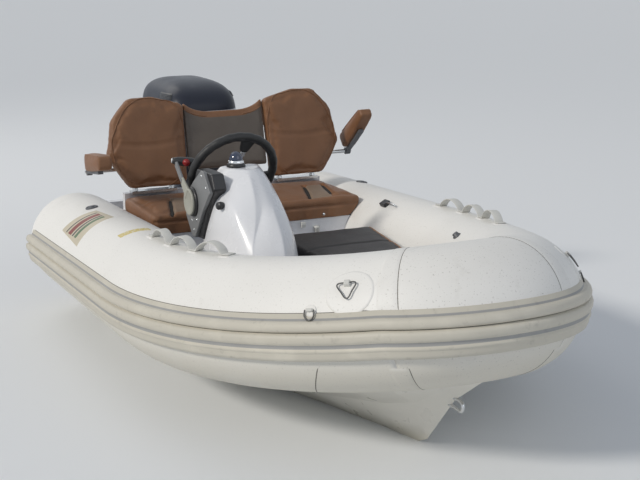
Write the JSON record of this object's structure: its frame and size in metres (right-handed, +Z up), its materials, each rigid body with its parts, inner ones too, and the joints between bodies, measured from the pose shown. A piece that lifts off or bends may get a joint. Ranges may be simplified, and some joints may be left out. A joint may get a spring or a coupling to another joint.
{
  "type": "inflatable rib boat with outboard motor",
  "caption": "Rigid inflatable tender: tube collar on a V hull, bench seat with backrests, side console with wheel and tilting outboard motor.",
  "frame": {"origin": "at the water surface, on the centreline, below the transom's aft face", "axes": "+X towards the bow, +Y to port, +Z up"},
  "size_m": [3.2095, 1.6962, 1.4673],
  "materials": {
    "tube_fabric": "matt coated fabric",
    "tube_fabric_bow": "matt coated fabric",
    "strake_rubber": "satin",
    "white_fitting": "satin",
    "grey_fitting": "matt",
    "gelcoat": "gloss",
    "brown_vinyl": "satin vinyl",
    "taupe_vinyl": "satin vinyl",
    "stainless": "polished",
    "black_plastic": "satin",
    "compass_glass": "gloss",
    "cowl_paint": "gloss",
    "motor_paint": "satin",
    "engine_metal": "cast"
  },
  "bodies": {
    "boat": {"tube_starboard": "tube_fabric", "tube_port": "tube_fabric", "tube_bow": "tube_fabric_bow", "rub_strake": "strake_rubber", "hull": "gelcoat", "deck": "gelcoat", "transom": "gelcoat", "bench": "gelcoat", "console": "gelcoat", "bow_moulding": "gelcoat", "seat_cushion_starboard": "brown_vinyl", "seat_cushion_port": "brown_vinyl", "backrest_starboard": "brown_vinyl", "backrest_port": "brown_vinyl", "back_panel": "taupe_vinyl", "back_frame_starboard": "stainless", "back_frame_port": "stainless", "armrest_post_starboard": "stainless", "armrest_post_port": "stainless", "helm": "black_plastic", "control_box": "grey_fitting", "throttle_lever": "black_plastic", "compass_base": "black_plastic", "compass_dome": "compass_glass", "side_cushion": "brown_vinyl", "tow_eye": "stainless", "grab_strap_starboard": "white_fitting", "grab_strap_port": "white_fitting", "lifting_ring_starboard": "white_fitting", "lifting_ring_port": "white_fitting", "side_ring_starboard": "white_fitting", "side_ring_port": "white_fitting", "valve_starboard": "grey_fitting", "valve_port": "grey_fitting", "clamp_bracket": "motor_paint"},
    "steering_wheel": {"steering_wheel": "black_plastic"},
    "motor_tilt": {"swivel_bracket": "motor_paint"},
    "motor_steer": {"motor_leg": "motor_paint", "gearcase": "motor_paint", "cowl_lower": "cowl_paint", "cowl_upper": "cowl_paint", "powerhead": "engine_metal"},
    "propeller": {"propeller": "motor_paint"},
    "armrest_starboard": {"armrest_pad_starboard": "brown_vinyl", "armrest_bracket_starboard": "stainless"},
    "armrest_port": {"armrest_pad_port": "brown_vinyl", "armrest_bracket_port": "stainless"},
    "bow_locker_lid": {"locker_lid": "gelcoat", "bow_cushion": "brown_vinyl"}
  },
  "joints": [
    {"name": "motor_tilt", "type": "hinge", "parent": "boat", "child": "motor_tilt", "pos_m": [-0.035, 0.025, 0.45], "axis": [0, 1, 0], "range_deg": [0, 45]},
    {"name": "motor_steer", "type": "hinge", "parent": "motor_tilt", "child": "motor_steer", "pos_m": [-0.12, 0.025, 0.375], "axis": [0, 0, 1], "range_deg": [-30, 30]},
    {"name": "propeller", "type": "hinge", "parent": "motor_steer", "child": "propeller", "pos_m": [-0.37, 0.025, -0.335], "axis": [1, 0, 0], "continuous": true},
    {"name": "steering_wheel", "type": "hinge", "parent": "boat", "child": "steering_wheel", "pos_m": [1.068, -0.212, 0.752], "axis": [0.891, 0, -0.454], "range_deg": [-540, 540]},
    {"name": "armrest_starboard", "type": "hinge", "parent": "boat", "child": "armrest_starboard", "pos_m": [0.418, -0.619, 0.682], "axis": [0, -1, 0], "range_deg": [0, 74]},
    {"name": "armrest_port", "type": "hinge", "parent": "boat", "child": "armrest_port", "pos_m": [0.418, 0.619, 0.682], "axis": [0, -1, 0], "range_deg": [-30.5, 43.5]},
    {"name": "bow_locker_lid", "type": "hinge", "parent": "boat", "child": "bow_locker_lid", "pos_m": [2.05, 0, 0.454], "axis": [0, 1, 0], "range_deg": [0, 80]}
  ],
  "couplings": [
    {"joint": "steering_wheel", "follows": "motor_steer", "ratio": 18}
  ]
}
